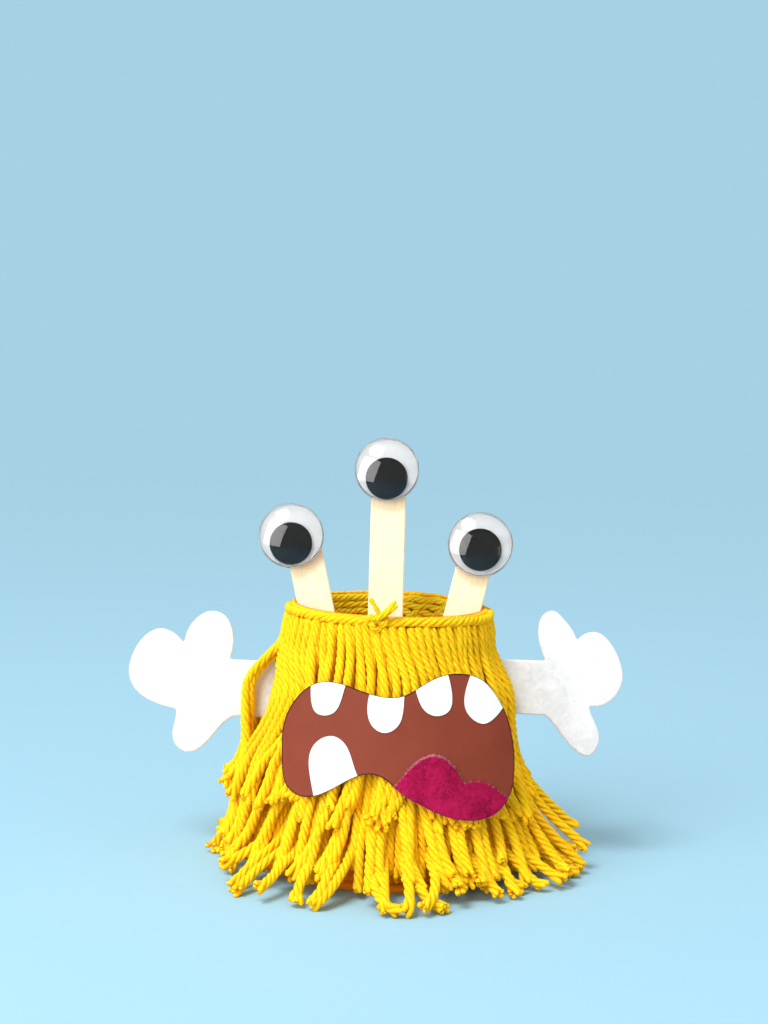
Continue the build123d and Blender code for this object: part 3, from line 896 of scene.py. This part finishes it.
# ---------------------------------------------------------------- felt
def thick_sheet_from(names, bridge, name, material, voxel):
    """One mesh from CAD solids and a bridging box, with soft felt edges; voxel is in millimetres."""
    bm = bmesh.new()
    for node in names:
        bm.from_mesh(nodes[node].data)
    if bridge:
        low, high = (Vector(c) for c in bridge)
        cube = bmesh.ops.create_cube(bm, size=1.0)
        middle, size = (low + high) / 2, high - low
        for vert in cube["verts"]:
            vert.co = Vector((vert.co.x * size.x, vert.co.y * size.y, vert.co.z * size.z)) + middle
    mesh = bpy.data.meshes.new(name)
    bm.to_mesh(mesh)
    bm.free()
    piece = bpy.data.objects.new(name, mesh)
    bpy.context.scene.collection.objects.link(piece)
    remesh = piece.modifiers.new("remesh", "REMESH")
    remesh.mode = "VOXEL"
    remesh.voxel_size = voxel * MM
    soften = piece.modifiers.new("soften", "SMOOTH")
    soften.factor = 0.5
    soften.iterations = 3
    depsgraph = bpy.context.evaluated_depsgraph_get()
    final = bpy.data.meshes.new_from_object(piece.evaluated_get(depsgraph))
    piece.modifiers.clear()
    piece.data = final
    final.materials.clear()
    final.materials.append(material)
    final.polygons.foreach_set("use_smooth", [True] * len(final.polygons))
    return piece


# half the length of the felt across an arm's hinge, and of the box that joins its two solids
BRIDGE_HALF = 0.6 * MM


def make_arms(material):
    """Each arm and its root in one piece of felt, joined across the hinge between them."""
    for side in ("left", "right"):
        root_low, root_high = (Vector(c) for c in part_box(f"arm_root_{side}"))
        arm_low, arm_high = (Vector(c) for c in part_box(f"arm_{side}"))
        hinge = Vector(joints[f"arm_flap_{side}"]["pos_m"])
        low = (hinge.x - BRIDGE_HALF, arm_low.y, root_low.z)
        high = (hinge.x + BRIDGE_HALF, arm_high.y, root_high.z)
        solids = (f"arm_root_{side}", f"arm_{side}")
        arm = thick_sheet_from(solids, (low, high), f"arm_felt_{side}", material, 0.3)
        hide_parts(f"arm_root_{side}", f"arm_{side}")
        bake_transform(arm)


def make_tongue(material):
    tongue = thick_sheet_from(("tongue",), None, "tongue_felt", material, 0.22)
    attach(tongue, "cup")
    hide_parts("tongue")


# ---------------------------------------------------------------- card edge and tongue fibres
def outline_of(node):
    """The loop of points round the front face of a thin bent sheet, in metres."""
    bm = bmesh.new()
    bm.from_mesh(nodes[node].data)
    bmesh.ops.remove_doubles(bm, verts=bm.verts, dist=0.01 * MM)
    facing = {face for face in bm.faces if face.normal.y < -0.7}
    links = {}
    for edge in bm.edges:
        if sum(face in facing for face in edge.link_faces) == 1:
            for here, there in (edge.verts, reversed(edge.verts)):
                links.setdefault(here, []).append(there)
    start = min(links, key=lambda vert: vert.co.z)
    loop, previous, here = [], None, start
    while True:
        loop.append(tuple(here.co))
        following = [vert for vert in links[here] if vert is not previous]
        previous, here = here, following[0]
        if here is start:
            break
    bm.free()
    return np.array(loop)


def make_card_edge():
    """A hair-thin dark bead round the card's front face."""
    loop = outline_of("mouth_card") / MM
    tangent = unit(np.roll(loop, -1, axis=0) - np.roll(loop, 1, axis=0))
    across = unit(np.cross(tangent, CARD_FRONT))
    over = np.cross(across, tangent)
    steps = (np.arange(6) * math.pi / 3)[None, :, None]
    ring = np.cos(steps) * across[:, None, :] + np.sin(steps) * over[:, None, :]
    verts = (loop[:, None, :] + CARD_EDGE_R * ring).reshape(-1, 3)
    index = np.arange(len(verts)).reshape(len(loop), 6)
    after = np.roll(index, -1, axis=0)
    corners = (index, np.roll(index, -1, axis=1), np.roll(after, -1, axis=1), after)
    quads = np.stack(corners, axis=-1).reshape(-1, 4)
    material = paper_material("mouth_dark_outline", (0.035, 0.010, 0.008), (0.018, 0.006, 0.005))
    piece = finish_mesh("mouth_dark_outline", (verts * MM).tolist(), quads.tolist(), material)
    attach(piece, "cup")


def make_tongue_fuzz():
    """Short pale fibres standing off the edge of the tongue, thickest over its left hump."""
    rng = np.random.default_rng(7)
    loop = outline_of("tongue") / MM
    step = np.roll(loop, -1, axis=0) - loop
    out = unit(np.cross(unit(step), CARD_FRONT))
    if ((loop - loop.mean(axis=0)) * out).sum() < 0:
        out = -out
    hump = np.exp(-(((loop[:, 0] - TONGUE_HUMP_X) / 4.5) ** 2)) * (loop[:, 2] > loop[:, 2].mean())
    weight = np.linalg.norm(step, axis=1) * (0.3 + 4 * hump)
    rows = rng.choice(len(loop), TONGUE_FIBRES, p=weight / weight.sum())
    column = (len(rows), 1)
    root = loop[rows] + step[rows] * rng.uniform(0, 1, column) - CARD_FRONT * rng.uniform(0, 0.6, column)
    lean = unit(step[rows]) * rng.uniform(-1.3, 1.3, column)
    lean += CARD_FRONT * rng.uniform(-0.2, 0.8, column)
    tip = root + unit(out[rows] + lean) * rng.uniform(0.3, 1.2, column)
    inner = root - out[rows] * 0.3
    side = np.cross(out[rows], CARD_FRONT) * 0.04
    verts = np.stack([inner + side, inner - side, inner + CARD_FRONT * 0.07, tip], axis=1).reshape(-1, 3)
    material = felt_material("tongue_fibres", (0.80, 0.34, 0.46), (0.62, 0.14, 0.26), 0.3)
    faces = spike_faces(0, len(rows)).tolist()
    piece = finish_mesh("tongue_fuzz", (verts * MM).tolist(), faces, material)
    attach(piece, "cup")


# ---------------------------------------------------------------- build
def paint(node, material):
    for slot in nodes[node].material_slots:
        slot.material = material


make_stage()
make_camera()

yellows = ((0.96, 0.40, 0.0), (1.0, 0.60, 0.002), (1.0, 0.86, 0.02))
# painted shade: the yarn against the back of the recess is a darker, more olive copy of the yellow yarn,
# with a darker groove colour
recess_shade_yellows = ((0.66, 0.50, 0.01), (0.76, 0.64, 0.015), (0.82, 0.75, 0.04))
yarn_yellow = yarn_material("yarn_yellow", yellows, groove_shade=(0.95, 0.30, 0.0))
yarn_recess_shade = yarn_material("yarn_recess_shade", recess_shade_yellows, groove_shade=(0.42, 0.22, 0.002))
make_fringe(yarn_yellow)
make_header(yarn_yellow)
make_inner_yarn(yarn_recess_shade)
make_arms(felt_material("arm_felt_white", (0.83, 0.88, 0.925), (0.67, 0.715, 0.755), 0.2))
make_tongue(felt_material("tongue_felt_pink", (0.42, 0.009, 0.080), (0.18, 0.002, 0.028), 0.25, 900))

cup_orange = cup_material()
for node in ("cup_wall", "cup_base"):
    paint(node, cup_orange)
birch = wood_material()
white = eye_white_material()
black = pupil_material()
clear = dome_material()
glue = glue_material()
for side in STICKS:
    paint(f"stick_{side}", birch)
    paint(f"eye_back_{side}", white)
    paint(f"pupil_{side}", black)
    paint(f"eye_dome_{side}", clear)
    paint(f"eye_glue_{side}", glue)
paint("mouth_card", paper_material("mouth_brown", (0.245, 0.044, 0.020), (0.205, 0.035, 0.016)))
tooth_white = paper_material("tooth_white", (0.84, 0.87, 0.90), (0.75, 0.78, 0.81))
for node in nodes:
    if node.startswith("tooth"):
        paint(node, tooth_white)

make_card_edge()
make_tongue_fuzz()
